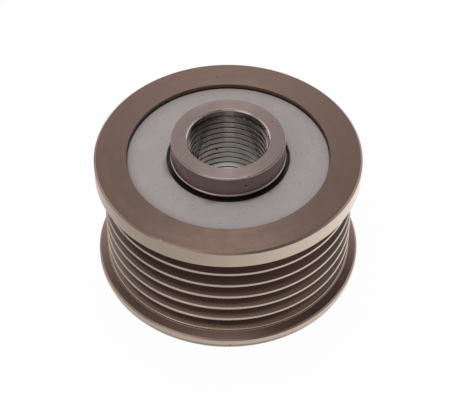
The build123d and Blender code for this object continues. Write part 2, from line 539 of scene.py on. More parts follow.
@dataclass(frozen=True)
class TrackSteel(TurnedSteel):
    """The rim's steel: ground bright on its outer walls, with painted shade in the belt grooves, under the
    rear flange, at the last crest's foot and on the front bevel.

    Places are in millimetres. The heights of the track and of the last crest bound a zone, and every
    other pair is where a change begins and where it is whole.
    """

    ground: Colour = (0.44, 0.36, 0.29)
    crest: Colour = (0.41, 0.355, 0.33)
    flank: Colour = (0.33, 0.25, 0.20)
    # Painted shade: the colour that the track darkens to deep in the grooves, under the rear flange and at
    # the last crest's foot.
    groove_shade: Colour = (0.205, 0.145, 0.13)
    crest_radius: float = 26.7
    track_heights: tuple[float, float] = (3.3, 25.3)
    last_crest_heights: tuple[float, float] = (3.2, 4.5)
    wall_radii: tuple[float, float] = (26.4, 26.6)
    # Heights over which the front bevel's painted shade gives way to the ground colour.
    bevel_shade_heights: tuple[float, float] = (1.1, 1.3)
    # Depths below the crests, then heights towards the rear flange, over which the painted shade grows.
    shade_depths: tuple[float, float] = (0.70, 1.10)
    shade_heights: tuple[float, float] = (10.0, 22.0)
    edge_blur: float = 0.1

    def stained(self, surface: Surface, colour: Link) -> Link:
        """Ground walls, with painted shade: grooves darker inwards and towards the rear flange, and the last
        crest's foot and the front bevel left dark.

        Args:
            surface: The material under way.
            colour: The steel's colour.

        Returns:
            The colour that shows.
        """
        nodes = surface.nodes
        upright = surface.upright()
        track = surface.between(surface.z, *self.track_heights, self.edge_blur)
        last_crest = surface.between(surface.z, *self.last_crest_heights, self.edge_blur)
        # Painted shade: darker deep in the grooves, towards the rear flange and along the foot of the last
        # crest.
        painted_shade = nodes.rise(self.crest_radius - surface.radius, *self.shade_depths)
        painted_shade = painted_shade + nodes.rise(surface.z, *self.shade_heights) + upright * last_crest
        colour = nodes.mix(track, colour, nodes.mix(painted_shade.clamped(), self.flank, self.groove_shade))
        # Painted shade: the walls at the last crest's foot get no ground colour.
        walls = upright * nodes.rise(surface.radius, *self.wall_radii)
        # Painted shade: the front bevel, below these heights, keeps the darker turned colour.
        walls = walls * nodes.rise(surface.z, *self.bevel_shade_heights) * (1.0 - last_crest)
        return nodes.mix(walls, colour, nodes.mix(track, self.ground, self.crest))


@dataclass(frozen=True)
class HubSteel(TurnedSteel):
    """The hub's steel: oil in its bore painted lighter far down, painted shade on the step, and burnish with
    a painted highlight at the mouth.
    """

    oil: Colour = (0.32, 0.295, 0.285)
    # Oil with painted light: the lighter colour that the bore turns to far down.
    deep_oil_painted_light: Colour = (0.40, 0.385, 0.365)
    deep_light_below: float = 21.0
    oil_patches: Patches = Patches(0.5, 3.0, 0.35, 0.65)
    oil_least: float = 0.8
    oil_shine: float = 0.40
    film: Colour = (0.25, 0.21, 0.205)
    film_above: float = 32.3
    film_blur: float = 0.1
    # Painted shade: the dark band on the bore's step.
    step_shade: Tint = Tint((0.09, 0.078, 0.075), 0.85)
    step_shade_width: float = 0.34
    step_shade_blur: float = 0.08
    # Burnish and painted highlight: the lighter colour of the mouth's chamfer.
    mouth: Colour = (0.35, 0.280, 0.265)
    mouth_radii: tuple[float, float] = (8.58, 8.93)
    mouth_from: float = 34.14
    mouth_blur: float = 0.04
    bore_within: float = 8.75
    teeth_within: float = 9.50
    wall_blur: float = 0.15
    teeth_below: float = 12.0
    teeth_blur: float = 0.5

    def inside(self, surface: Surface) -> Value:
        """Find the bore, which is wider at its toothed front end.

        Args:
            surface: The material under way.

        Returns:
            1 in the bore and 0 outside it.
        """
        bore = surface.below(surface.radius, self.bore_within, self.wall_blur)
        teeth = surface.below(surface.radius, self.teeth_within, self.wall_blur)
        low = surface.below(surface.z, self.teeth_below, self.teeth_blur)
        return (bore + teeth * low).clamped()

    def stained(self, surface: Surface, colour: Link) -> Link:
        """Oil in the bore, painted lighter far down, a dark film above the thread, painted shade on the step,
        and burnish with a painted highlight on the mouth's chamfer.

        Args:
            surface: The material under way.
            colour: The steel's colour.

        Returns:
            The colour that shows.
        """
        nodes = surface.nodes
        uneven = self.oil_least + (1.0 - self.oil_least) * surface.patches(self.oil_patches)
        # Painted light: the bore's oil turns lighter far down.
        up_the_bore = nodes.rise(surface.z, self.deep_light_below, self.film_above)
        plain = nodes.rise(surface.z, self.film_above - self.film_blur, self.film_above + self.film_blur)
        oil = nodes.mix(plain, nodes.mix(up_the_bore, self.deep_oil_painted_light, self.oil), self.film)
        # Painted shade on the bore's step.
        step_shade_top = self.film_above + self.step_shade_width
        step = surface.between(surface.z, self.film_above, step_shade_top, self.step_shade_blur)
        oil = nodes.tinted(step, oil, self.step_shade)
        colour = nodes.mix(self.inside(surface) * uneven, colour, oil)
        # Burnish and painted highlight on the mouth's chamfer.
        mouth = surface.between(surface.radius, *self.mouth_radii, self.mouth_blur)
        mouth = mouth * nodes.rise(surface.z, self.mouth_from - self.mouth_blur, self.mouth_from)
        return nodes.mix(mouth, colour, self.mouth)

    def smoothed(self, surface: Surface, roughness: Value) -> Value:
        """Oil that fills the fine marks of the bore."""
        return roughness * (1.0 - self.inside(surface) * (1.0 - self.oil_shine))


@dataclass(frozen=True)
class CoatedSheet:
    """Sheet steel under a matt grey coat, with pits, rubbed places, painted shade along its outer edge, and a
    darker, glossier band by the hub.
    """

    name: str
    colour: Colour
    # A darker, glossier ragged band next to the ring's bore: its tint, where it starts and how far it
    # reaches.
    bore_band_tint: Tint
    bore_band_from: float
    bore_band_reach: float
    edge: float
    # Painted shade where the ring meets the recess wall: its width and tint.
    edge_shade_width: float = 0.16
    edge_shade_tint: Tint = Tint((0.10, 0.085, 0.08), 0.6)
    roughness: float = 0.52
    coat: float = 0.04
    cloud_fineness: float = 0.30
    cloud_detail: float = 3.0
    cloud_shade: float = 0.05
    cloud_roughness: float = 0.12
    grain_fineness: float = 9.0
    grain_shade: float = 0.04
    grain_height: float = 0.006
    darkest: float = 0.94
    rubbed: Patches = Patches(0.16, 4.0, 0.52, 0.68)
    rubbed_tint: Tint = Tint((0.55, 0.50, 0.44), 0.12)
    pits: Patches = Patches(1.7, 0.0, 0.75, 0.79)
    pit_tint: Tint = Tint((0.14, 0.12, 0.11), 0.5)
    pit_depth: float = 0.03
    bore_band_fineness: float = 0.22
    bore_band_swing: float = 3.6
    bore_band_drop: float = 1.45
    bore_band_limits: tuple[float, float] = (-0.4, 0.9)
    bore_band_gloss: float = 0.18

    def bore_band(self, surface: Surface) -> Value:
        """Find the darker, glossier band, whose ragged edge lies near the ring's bore.

        Args:
            surface: The material under way.

        Returns:
            1 in the band and 0 on the rest of the coat.
        """
        outwards = (surface.radius - self.bore_band_from) / self.bore_band_reach
        ragged = surface.noise(self.bore_band_fineness, detail=1.0) * self.bore_band_swing - self.bore_band_drop
        return surface.nodes.rise(ragged - outwards, *self.bore_band_limits)

    def material(self) -> bpy.types.Material:
        """Build the material.

        Returns:
            The material.
        """
        surface = Surface(self.name)
        nodes = surface.nodes
        cloud = surface.noise(self.cloud_fineness, self.cloud_detail)
        grain = surface.noise(self.grain_fineness)
        pits = surface.patches(self.pits)
        bore_band_share = self.bore_band(surface)
        edge = nodes.rise(surface.radius, self.edge - self.edge_shade_width, self.edge)

        shade = self.darkest + self.cloud_shade * cloud + self.grain_shade * grain
        colour = nodes.shaded(self.colour, shade)
        colour = nodes.tinted(surface.patches(self.rubbed), colour, self.rubbed_tint)
        colour = nodes.tinted(pits, colour, self.pit_tint)
        # The darker, glossier ragged band next to the bore.
        colour = nodes.tinted(bore_band_share, colour, self.bore_band_tint)
        # Painted shade along the outer edge, where the ring meets the recess wall.
        colour = nodes.tinted(edge, colour, self.edge_shade_tint)
        roughness = self.roughness + self.cloud_roughness * cloud.centred() - self.bore_band_gloss * bore_band_share
        height = grain * self.grain_height - pits * self.pit_depth
        return surface.finish(colour, roughness, height, {"Metallic": 0.0, "Coat Weight": self.coat})


@dataclass(frozen=True)
class MouldedRubber:
    """Black seal rubber with a film of grease."""

    name: str
    colour: Colour
    roughness: float = 0.62
    film: Patches = Patches(0.5, 2.0, 0.40, 0.62)
    film_tint: Tint = Tint((0.006, 0.005, 0.0045), 0.5)
    film_gloss: float = 0.25
    grain_fineness: float = 4.0
    grain_detail: float = 3.0
    grain_roughness: float = 0.1
    grain_height: float = 0.01

    def material(self) -> bpy.types.Material:
        """Build the material.

        Returns:
            The material.
        """
        surface = Surface(self.name)
        grain = surface.noise(self.grain_fineness, self.grain_detail)
        film = surface.patches(self.film)
        colour = surface.nodes.tinted(film, self.colour, self.film_tint)
        roughness = self.roughness - self.film_gloss * film + self.grain_roughness * grain.centred()
        return surface.finish(colour, roughness, grain * self.grain_height, {"Metallic": 0.0})


@dataclass(frozen=True)
class GroundSteel:
    """Bright bearing steel, ground and lapped round its axis."""

    name: str
    colour: Colour
    roughness: float
    grit: float = 0.12
    scratch_depth: float = 0.001
    cloud_fineness: float = 0.6
    cloud_detail: float = 3.0
    darkest: float = 0.88
    scratch_shade: float = 0.14
    cloud_shade: float = 0.10
    cloud_roughness: float = 0.10
    gloss_spread: float = 0.3

    def material(self) -> bpy.types.Material:
        """Build the material.

        Returns:
            The material.
        """
        surface = Surface(self.name)
        scratches = surface.marks(self.grit)
        cloud = surface.noise(self.cloud_fineness, self.cloud_detail)
        shade = self.darkest + self.scratch_shade * scratches + self.cloud_shade * cloud
        colour = surface.nodes.shaded(self.colour, shade)
        roughness = self.roughness + self.cloud_roughness * cloud.centred()
        height = scratches * self.scratch_depth
        return surface.finish(colour, roughness, height, ringed_metal(self.gloss_spread))


@dataclass(frozen=True)
class SpringStrip:
    """Tempered spring strip, blued here and there."""

    name: str
    colour: Colour
    roughness: float = 0.24
    blued: Patches = Patches(0.8, 2.0, 0.40, 0.65)
    blue_tint: Tint = Tint((0.16, 0.20, 0.34), 0.5)
    grain_fineness: float = 6.0
    grain_roughness: float = 0.12
    grain_height: float = 0.002

    def material(self) -> bpy.types.Material:
        """Build the material.

        Returns:
            The material.
        """
        surface = Surface(self.name)
        grain = surface.noise(self.grain_fineness)
        colour = surface.nodes.tinted(surface.patches(self.blued), self.colour, self.blue_tint)
        roughness = self.roughness + self.grain_roughness * grain
        return surface.finish(colour, roughness, grain * self.grain_height, {"Metallic": 1.0})


@dataclass(frozen=True)
class MouldedPolymer:
    """Moulded polymer with short fibres that show faintly at its skin."""

    name: str
    colour: Colour
    fibre: Colour
    roughness: float = 0.46
    fibres: Patches = Patches(7.0, 4.0, 0.55, 0.70)
    fibre_strength: float = 0.30
    cloud_fineness: float = 0.5
    cloud_roughness: float = 0.16
    skin_height: float = 0.004

    def material(self) -> bpy.types.Material:
        """Build the material.

        Returns:
            The material.
        """
        surface = Surface(self.name)
        cloud = surface.noise(self.cloud_fineness)
        fibres = surface.patches(self.fibres)
        colour = surface.nodes.mix(fibres * self.fibre_strength, self.colour, self.fibre)
        roughness = self.roughness + self.cloud_roughness * cloud.centred()
        height = fibres * self.skin_height + cloud * self.skin_height
        return surface.finish(colour, roughness, height, {"Metallic": 0.0})


@dataclass(frozen=True)
class Corner:
    """A corner of a half section, rounded where its fillet isn't zero, in millimetres."""

    radius: float
    height: float
    fillet: float = 0.0


@dataclass(frozen=True)
class Lathe:
    """Turns closed half sections into meshes round the Z axis.

    Attributes:
        columns: Points all round the axis.
        arc_step: Degrees that a rounded corner turns from one point to the next.
        support: Length of the flat run beside a rounded corner, in millimetres.
        least_turn: Corners that turn by fewer degrees stay as they are.
    """

    columns: int = 320
    arc_step: float = 14.0
    support: float = 0.03
    least_turn: float = 1.0

    def outline(self, corners: Sequence[Corner]) -> Outline:
        """Round the corners of a section.

        Args:
            corners: The section's corners, in order round it.

        Returns:
            Its points, with a short straight run kept flat beside each round corner.
        """
        points: Outline = []
        for before, corner, after in zip([corners[-1], *corners], corners, [*corners[1:], corners[0]]):
            here = Vector((corner.radius, corner.height))
            inwards = (here - Vector((before.radius, before.height))).normalized()
            onwards = (Vector((after.radius, after.height)) - here).normalized()
            turn = inwards.angle_signed(onwards, 0.0)
            if corner.fillet <= 0.0 or abs(turn) < math.radians(self.least_turn):
                points.append(tuple(here))
                continue
            reach = corner.fillet * math.tan(abs(turn) / 2)
            start = here - inwards * reach
            steps = max(2, round(math.degrees(abs(turn)) / self.arc_step))
            points.append(tuple(start - inwards * self.support))
            for i in range(steps + 1):
                swept = abs(turn) * i / steps
                along = inwards * (corner.fillet * math.sin(swept))
                side = self.towards(inwards, onwards) * (corner.fillet * (1 - math.cos(swept)))
                points.append(tuple(start + along + side))
            points.append(tuple(here + onwards * (reach + self.support)))
        return points

    @staticmethod
    def towards(inwards: Vector, onwards: Vector) -> Vector:
        """The side of a run to which the next run bends, as a unit vector."""
        bend = onwards - inwards * onwards.dot(inwards)
        return bend.normalized()

    def rows(self, outline: Outline) -> list[list[Vector]]:
        """Stand each point of an outline all round the axis.

        Args:
            outline: The outline, in millimetres.

        Returns:
            A ring for each of its points, in metres.
        """
        turns = [2 * math.pi * j / self.columns for j in range(self.columns)]
        rings = [[(r * math.cos(t), r * math.sin(t), z) for t in turns] for r, z in outline]
        return [[Vector(point) * MM for point in ring] for ring in rings]

    def turned(self, name: str, corners: Sequence[Corner]) -> bpy.types.Object:
        """Make a turned piece.

        Args:
            name: The piece's name.
            corners: Its half section.

        Returns:
            The piece, without a material.
        """
        rows = self.rows(self.outline(corners))
        faces = []
        for i in range(len(rows)):
            following = (i + 1) % len(rows)
            for j in range(self.columns):
                beside = (j + 1) % self.columns
                corners_of_face = [(i, j), (i, beside), (following, beside), (following, j)]
                faces.append([row * self.columns + column for row, column in corners_of_face])
        return build(name, [point for row in rows for point in row], faces)


def build(
    name: str,
    points: Sequence[Vector],
    faces: Sequence[Sequence[int]],
    weld: float = 1e-7,
    crease: float = 34.0,
) -> bpy.types.Object:
    """Make a closed piece from points and faces, with its creases sharp and the rest smooth.

    Args:
        name: The piece's name.
        points: Its points, in metres.
        faces: The points of each face.
        weld: Points closer than this are made one, in metres.
        crease: Degrees between two faces from which their edge is sharp.

    Returns:
        The piece, linked to the scene.
    """
    mesh = bpy.data.meshes.new(name)
    mesh.from_pydata(points, [], faces)
    work = bmesh.new()
    work.from_mesh(mesh)
    bmesh.ops.remove_doubles(work, verts=work.verts, dist=weld)
    bmesh.ops.dissolve_degenerate(work, edges=work.edges, dist=weld)
    bmesh.ops.recalc_face_normals(work, faces=work.faces)
    work.to_mesh(mesh)
    work.free()
    mesh.shade_smooth()
    mesh.set_sharp_from_angle(angle=math.radians(crease))
    piece = bpy.data.objects.new(name, mesh)
    bpy.context.scene.collection.objects.link(piece)
    return piece


def dress(piece: bpy.types.Object, material: bpy.types.Material, body: str, node: str) -> None:
    """Give a piece its material and its place in the frame.

    Args:
        piece: The piece.
        material: What it is made of.
        body: The body that it moves with.
        node: The CAD node that it stands for.
    """
    piece.data.materials.clear()
    piece.data.materials.append(material)
    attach(piece, body)
    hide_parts(node)
    log.info("%s: %d faces on %s", piece.name, len(piece.data.polygons), body)


def span(node: str) -> tuple[float, float, float]:
    """Outer radius, lowest and highest point of a CAD node, in millimetres."""
    low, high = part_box(node)
    return high.x / MM, low.z / MM, high.z / MM


@dataclass
class Rim:
    """The grooved rim, with a flange at each edge and a stepped bore."""

    finish: TurnedSteel
    lathe: Lathe = Lathe(columns=280)
    rib_pitch: float = 3.56
    groove_count: int = 6
    groove_angle: float = 40.0
    groove_root_land: float = 0.50
    groove_root_fillet: float = 0.33
    crest_land: float = 0.60
    crest_fillet: float = 0.32
    first_groove_from_rear: float = 6.72
    rear_flange_drop: float = 0.20
    rear_flange_height: float = 1.75
    flange_flare: float = 22.0
    rear_edge_break: float = 0.10
    front_edge_break: float = 0.37
    flange_edge_fillet: float = 0.12
    rear_edge_chamfer: float = 0.45
    front_bevel_height: float = 1.20
    front_bevel_depth: float = 0.40
    recess_step: float = 2.91
    cap_recess_step: float = 1.91
    cap_recess_depth: float = 3.20
    cap_groove_from_front: float = 1.20
    cap_groove_width: float = 0.90
    cap_groove_depth: float = 0.40
    cap_lead_in: float = 0.40
    edge_fillet: float = 0.06

    def belt_track(self, crest: float, rear: float) -> list[Corner]:
        """Corners of the grooves, from the rear end of the track to its front end.

        Args:
            crest: Radius of the ribs' crests.
            rear: Height of the rim's rear face.

        Returns:
            The corners.
        """
        mouth = (self.rib_pitch - self.crest_land) / 2
        root = self.groove_root_land / 2
        depth = (mouth - root) / math.tan(math.radians(self.groove_angle / 2))
        corners = []
        for i in range(self.groove_count):
            centre = rear - self.first_groove_from_rear - self.rib_pitch * i
            corners.append(Corner(crest, centre + mouth, self.crest_fillet))
            corners.append(Corner(crest - depth, centre + root, self.groove_root_fillet))
            corners.append(Corner(crest - depth, centre - root, self.groove_root_fillet))
            corners.append(Corner(crest, centre - mouth, self.crest_fillet))
        return corners

    def section(self) -> list[Corner]:
        """Draw the rim's half section.

        Returns:
            Its corners, from the recess over the flanges and down, and back through the bore.
        """
        outer, front, rear = span("pulley_rim")
        bore, _, bore_high = span("outer_sleeve")
        rear_flange = outer - self.rear_flange_drop
        crest = rear_flange - self.rear_flange_height
        recess = bore + self.recess_step
        cap = bore + self.cap_recess_step
        track = self.belt_track(crest, rear)
        flare = math.tan(math.radians(self.flange_flare))
        rear_foot = track[0].height + self.crest_land
        front_foot = track[-1].height - self.crest_land
        rear_edge = rear_foot + (self.rear_flange_height - self.rear_edge_break) * flare
        front_edge = front_foot - (outer - crest - self.front_edge_break) * flare
        soft = self.flange_edge_fillet
        edge = self.edge_fillet
        outside = [
            Corner(recess, rear, edge),
            Corner(rear_flange - self.rear_edge_chamfer, rear, soft),
            Corner(rear_flange, rear - self.rear_edge_chamfer, soft),
            Corner(rear_flange, rear_edge + self.rear_edge_break, edge),
            Corner(rear_flange - self.rear_edge_break, rear_edge, edge),
            Corner(crest, rear_foot, soft),
            *track,
            Corner(crest, front_foot, soft),
            Corner(outer - self.front_edge_break, front_edge, soft),
            Corner(outer, front_edge - self.front_edge_break, soft),
            Corner(outer, front + self.front_bevel_height, soft),
            Corner(outer - self.front_bevel_depth, front, edge),
        ]
        snap_low = front + self.cap_groove_from_front
        snap_high = snap_low + self.cap_groove_width
        inside = [
            Corner(cap + self.cap_lead_in, front, edge),
            Corner(cap, front + self.cap_lead_in, edge),
            Corner(cap, snap_low, edge),
            Corner(cap + self.cap_groove_depth, snap_low, edge),
            Corner(cap + self.cap_groove_depth, snap_high, edge),
            Corner(cap, snap_high, edge),
            Corner(cap, front + self.cap_recess_depth, edge),
            Corner(bore, front + self.cap_recess_depth, edge),
            Corner(bore, bore_high, edge),
            Corner(recess, bore_high, edge),
        ]
        return outside + inside

    def make(self) -> None:
        """Build the rim and dress it."""
        piece = self.lathe.turned("rim_turned", self.section())
        dress(piece, self.finish.material(), "rim", "pulley_rim")


@dataclass
class CoverRing:
    """The flat grey ring in the rear recess."""

    finish: CoatedSheet
    bore: float = 13.03
    bore_chamfer: float = 0.12
    bore_fillet: float = 0.04
    edge_chamfer: float = 0.30
    edge_fillet: float = 0.08

    def section(self) -> list[Corner]:
        """Draw the ring's half section.

        Returns:
            Its corners.
        """
        outer, low, high = span("rear_cover_ring")
        return [
            Corner(self.bore, low, self.edge_fillet),
            Corner(outer, low, self.edge_fillet),
            Corner(outer, high - self.edge_chamfer, self.edge_fillet),
            Corner(outer - self.edge_chamfer, high, self.edge_fillet),
            Corner(self.bore + self.bore_chamfer, high, self.bore_fillet),
            Corner(self.bore, high - self.bore_chamfer, self.bore_fillet),
        ]

    def make(self, lathe: Lathe) -> None:
        """Build the ring and dress it.

        Args:
            lathe: What it is turned on.
        """
        piece = lathe.turned("cover_ring_turned", self.section())
        dress(piece, self.finish.material(), "rim", "rear_cover_ring")


@dataclass
class LipSeal:
    """A rubber seal whose lip slopes up to the hub."""

    node: str
    shaft: float
    faces_rear: bool
    lip_clearance: float = 0.05
    lip_tip: float = 0.35
    lip_reach: float = 2.20
    edge_fillet: float = 0.08

    def section(self) -> list[Corner]:
        """Draw the seal's half section.

        Returns:
            Its corners.
        """
        outer, low, high = span(self.node)
        face, back = (high, low) if self.faces_rear else (low, high)
        tip = self.shaft + self.lip_clearance
        slope = face - math.copysign(self.lip_tip, face - back)
        soft = self.edge_fillet
        return [
            Corner(outer, back, soft),
            Corner(outer, face, soft),
            Corner(tip, face, soft),
            Corner(tip, slope, soft),
            Corner(tip + self.lip_reach, back, soft),
        ]

    def make(self, lathe: Lathe, material: bpy.types.Material) -> None:
        """Build the seal and dress it.

        Args:
            lathe: What it is turned on.
            material: Its rubber.
        """
        piece = lathe.turned(f"{self.node}_moulded", self.section())
        dress(piece, material, "rim", self.node)


@dataclass
class Hub:
    """The threaded hub, with its nose, neck, race seat and toothed front end."""

    finish: TurnedSteel
    columns_to_tooth: int = 8
    serration_teeth: int = 33
    serration_minor: float = 8.85
    serration_major: float = 9.35
    serration_lead_in: float = 0.35
    thread_pitch: float = 1.50
    thread_major: float = 8.50
    thread_minor: float = 8.15
    thread_crest_flat: float = 0.70
    thread_flank: float = 0.11
    thread_edge_drop: float = 0.03
    thread_edge_run: float = 0.012
    thread_front_end: float = 10.00
    thread_lead_out: float = 0.45
    lead_in_slope: float = 1.73
    lead_steps: int = 5
    relief_width: float = 2.00
    relief_radius: float = 8.70
    pilot_radius: float = 8.60
    pilot_depth: float = 1.87
    mouth_chamfer: float = 0.30
    seat_radius: float = 10.60
    neck_radius: float = 11.30
    nose_foot_below_rear: float = 0.40
    nose_foot_height: float = 0.40
    nose_foot_lip: float = 0.20
    nose_edge_fillet: float = 0.30
    front_chamfer: float = 0.40
    edge_fillet: float = 0.08

    def thread_turn(self) -> Outline:
        """Draw one turn of the thread, with the edges of its crest and root broken.

        Returns:
            Shares of the pitch, from the edge of a crest on, with their radii.
        """
        crest, root = self.thread_minor, self.thread_major
        flat, flank = self.thread_crest_flat, self.thread_flank
        drop, run = self.thread_edge_drop, self.thread_edge_run
        middle = (crest + root) / 2
        bottom = flat + flank
        rising = 1.0 - flank
        high_land = [(0.0, crest + drop), (run, crest), (flat / 2, crest)]
        high_land += [(flat - run, crest), (flat, crest + drop)]
        low_land = [(bottom, root - drop), (bottom + run, root)]
        low_land += [(rising - run, root), (rising, root - drop)]
        return [*high_land, (flat + flank / 2, middle), *low_land, (rising + flank / 2, middle)]

    def thread_radius(self, share: float, turn: Outline) -> float:
        """Radius of the thread at a share of its pitch.

        Args:
            share: The share, of which only the part after the point counts.
            turn: One turn of the thread.

        Returns:
            The radius in millimetres.
        """
        share -= math.floor(share)
        ends = [*turn, (1.0, turn[0][1])]
        for (low, first), (high, second) in zip(ends, ends[1:]):
            if share <= high:
                return first + (second - first) * (share - low) / (high - low)
        return turn[0][1]

    def bored_radius(self, height: float, turned: float, turn: Outline, top: float) -> float:
        """Radius of the threaded bore at a point of its wall.

        Args:
            height: The point's height.
            turned: Its angle round the axis, as a share of a full turn.
            turn: One turn of the thread.
            top: Height of the thread's rear end.

        Returns:
            The radius in millimetres.
        """
        share = (height - self.thread_front_end) / self.thread_pitch - turned
        lead_in = self.pilot_radius - (top - height) * self.lead_in_slope
        lead_out = self.thread_minor + self.thread_lead_out - (height - self.thread_front_end)
        return max(self.thread_radius(share, turn), lead_in, lead_out)

    def level_rows(self, columns: int, low: float, high: float, top: float) -> list[Outline]:
        """Level rows across one end of the thread, where its turns run out in a cone.

        Args:
            columns: Points in a row.
            low: Height of the lowest row.
            high: Height of the highest row.
            top: Height of the thread's rear end.

        Returns:
            The rows, as radius and height of each point.
        """
        turn = self.thread_turn()
        rows = []
        for i in range(self.lead_steps + 1):
            height = low + (high - low) * i / self.lead_steps
            rows.append([(self.bored_radius(height, j / columns, turn, top), height) for j in range(columns)])
        return rows

    def climbing_rows(self, columns: int, low: float, high: float, top: float) -> list[Outline]:
        """Rows that climb with the thread between two level ends.

        Args:
            columns: Points in a row.
            low: Height at which they all start.
            high: Height at which they all end.
            top: Height of the thread's rear end.

        Returns:
            The rows, as radius and height of each point.
        """
        turn = self.thread_turn()
        first = math.floor((low - self.thread_front_end) / self.thread_pitch) - 1
        last = math.ceil((high - self.thread_front_end) / self.thread_pitch)
        rows = []
        for k in range(first, last + 1):
            for share, _ in turn:
                row = []
                for j in range(columns):
                    climbed = (k + share + j / columns) * self.thread_pitch
                    height = min(max(self.thread_front_end + climbed, low), high)
                    row.append((self.bored_radius(height, j / columns, turn, top), height))
                rows.append(row)
        return rows

    def outside(self, low: float, high: float, nose: float, rear: float) -> list[Corner]:
        """Corners from the bore's rear mouth, over the nose and down to the front end.

        Args:
            low: Height of the front end.
            high: Height of the nose's face.
            nose: Radius of the nose.
            rear: Height of the rim's rear face.

        Returns:
            The corners.
        """
        foot = rear - self.nose_foot_below_rear
        race_rear = span("inner_race")[2]
        lip = self.nose_foot_lip
        soft = self.edge_fillet
        return [
            Corner(self.pilot_radius, high - self.mouth_chamfer, soft),
            Corner(self.pilot_radius + self.mouth_chamfer, high, soft),
            Corner(nose, high, self.nose_edge_fillet),
            Corner(nose, foot + self.nose_foot_height, soft),
            Corner(nose + lip, foot + self.nose_foot_height - lip, soft),
            Corner(nose + lip, foot, soft),
            Corner(self.neck_radius, foot, soft),
            Corner(self.neck_radius, race_rear, soft),
            Corner(self.seat_radius, race_rear, soft),
            Corner(self.seat_radius, low + self.front_chamfer, soft),
            Corner(self.seat_radius - self.front_chamfer, low, soft),
        ]

    def serration_rows(self, columns: int, low: float) -> list[Outline]:
        """Rows of the toothed front end, with a small lead-in at its mouth.

        Args:
            columns: Points in a row.
            low: Height of the hub's front end.

        Returns:
            The rows, as radius and height of each point.
        """
        half = self.columns_to_tooth / 2
        depth = self.serration_major - self.serration_minor
        relief_low = self.thread_front_end - self.relief_width
        teeth = [self.serration_major - depth * abs((j / half) % 2 - 1) for j in range(columns)]
        return [
            [(self.serration_major, low)] * columns,
            [(tooth, low + self.serration_lead_in) for tooth in teeth],
            [(tooth, relief_low) for tooth in teeth],
            [(self.relief_radius, relief_low)] * columns,
            [(self.relief_radius, self.thread_front_end)] * columns,
        ]

    def rows(self, columns: int) -> tuple[list[Outline], range]:
        """Lay rows of points over the hub, from the bore's rear mouth outwards, down and up the bore.

        Args:
            columns: Points in a row.

        Returns:
            The rows, as radius and height of each point, and which of them climb with the thread.
        """
        widest, low, high = span("hub")
        rear = span("pulley_rim")[2]
        top = high - self.pilot_depth
        turns_from = self.thread_front_end + self.thread_lead_out
        turns_to = top - (self.pilot_radius - self.thread_minor) / self.lead_in_slope
        corners = self.outside(low, high, widest - self.nose_foot_lip, rear)
        rows = [[point] * columns for point in Lathe().outline(corners)]
        rows += self.serration_rows(columns, low)
        rows += self.level_rows(columns, self.thread_front_end, turns_from, top)[:-1]
        climbing = self.climbing_rows(columns, turns_from, turns_to, top)
        climb = range(len(rows), len(rows) + len(climbing))
        rows += climbing
        rows += self.level_rows(columns, turns_to, top, top)[1:]
        return rows, climb

    def faces(self, count: int, columns: int, climb: range) -> list[list[int]]:
        """Join the rows by faces, closed all round.

        A row that climbs ends one turn of the thread higher than it starts, so its last column meets
        the first column of the row one turn further on.

        Args:
            count: How many rows there are.
            columns: Points in a row.
            climb: The rows that climb.

        Returns:
            The points of each face.
        """
        rows_to_turn = len(self.thread_turn())

        def beside(i: int) -> int:
            """The row that row i of the last column meets in the first column."""
            return min(i + rows_to_turn, climb[-1]) if i in climb else i

        faces = []
        for i in range(count):
            following = (i + 1) % count
            for j in range(columns):
                ring = [(i, j), (i, j + 1), (following, j + 1), (following, j)]
                if j + 1 == columns:
                    ring[1:3] = [(beside(i), 0), (beside(following), 0)]
                corners = dict.fromkeys(row * columns + column for row, column in ring)
                if len(corners) > 2:
                    faces.append(list(corners))
        return faces

    def make(self) -> None:
        """Build the hub and dress it."""
        columns = self.columns_to_tooth * self.serration_teeth
        rows, climb = self.rows(columns)
        points = []
        for row in rows:
            for j, (radius, height) in enumerate(row):
                turned = 2 * math.pi * j / columns
                points.append(Vector((radius * math.cos(turned), radius * math.sin(turned), height)) * MM)
        piece = build("hub_threaded", points, self.faces(len(rows), columns, climb))
        dress(piece, self.finish.material(), "hub_assembly", "hub")


@dataclass
class RollerWorks:
    """The races, rollers, cages, springs and washers inside, which keep their CAD shapes."""

    finishes: dict[str, GroundSteel | SpringStrip | MouldedPolymer]

    def dress(self) -> None:
        """Give each node whose slot has a finish its material."""
        materials = {slot: finish.material() for slot, finish in self.finishes.items()}
        for part in frame["record"]["subparts"]:
            node, slot = part["node"], part["material_slot"]
            if slot in materials:
                piece = frame["nodes"][node]
                piece.data.materials.clear()
                piece.data.materials.append(materials[slot])
                log.info("%s: %s", node, slot)


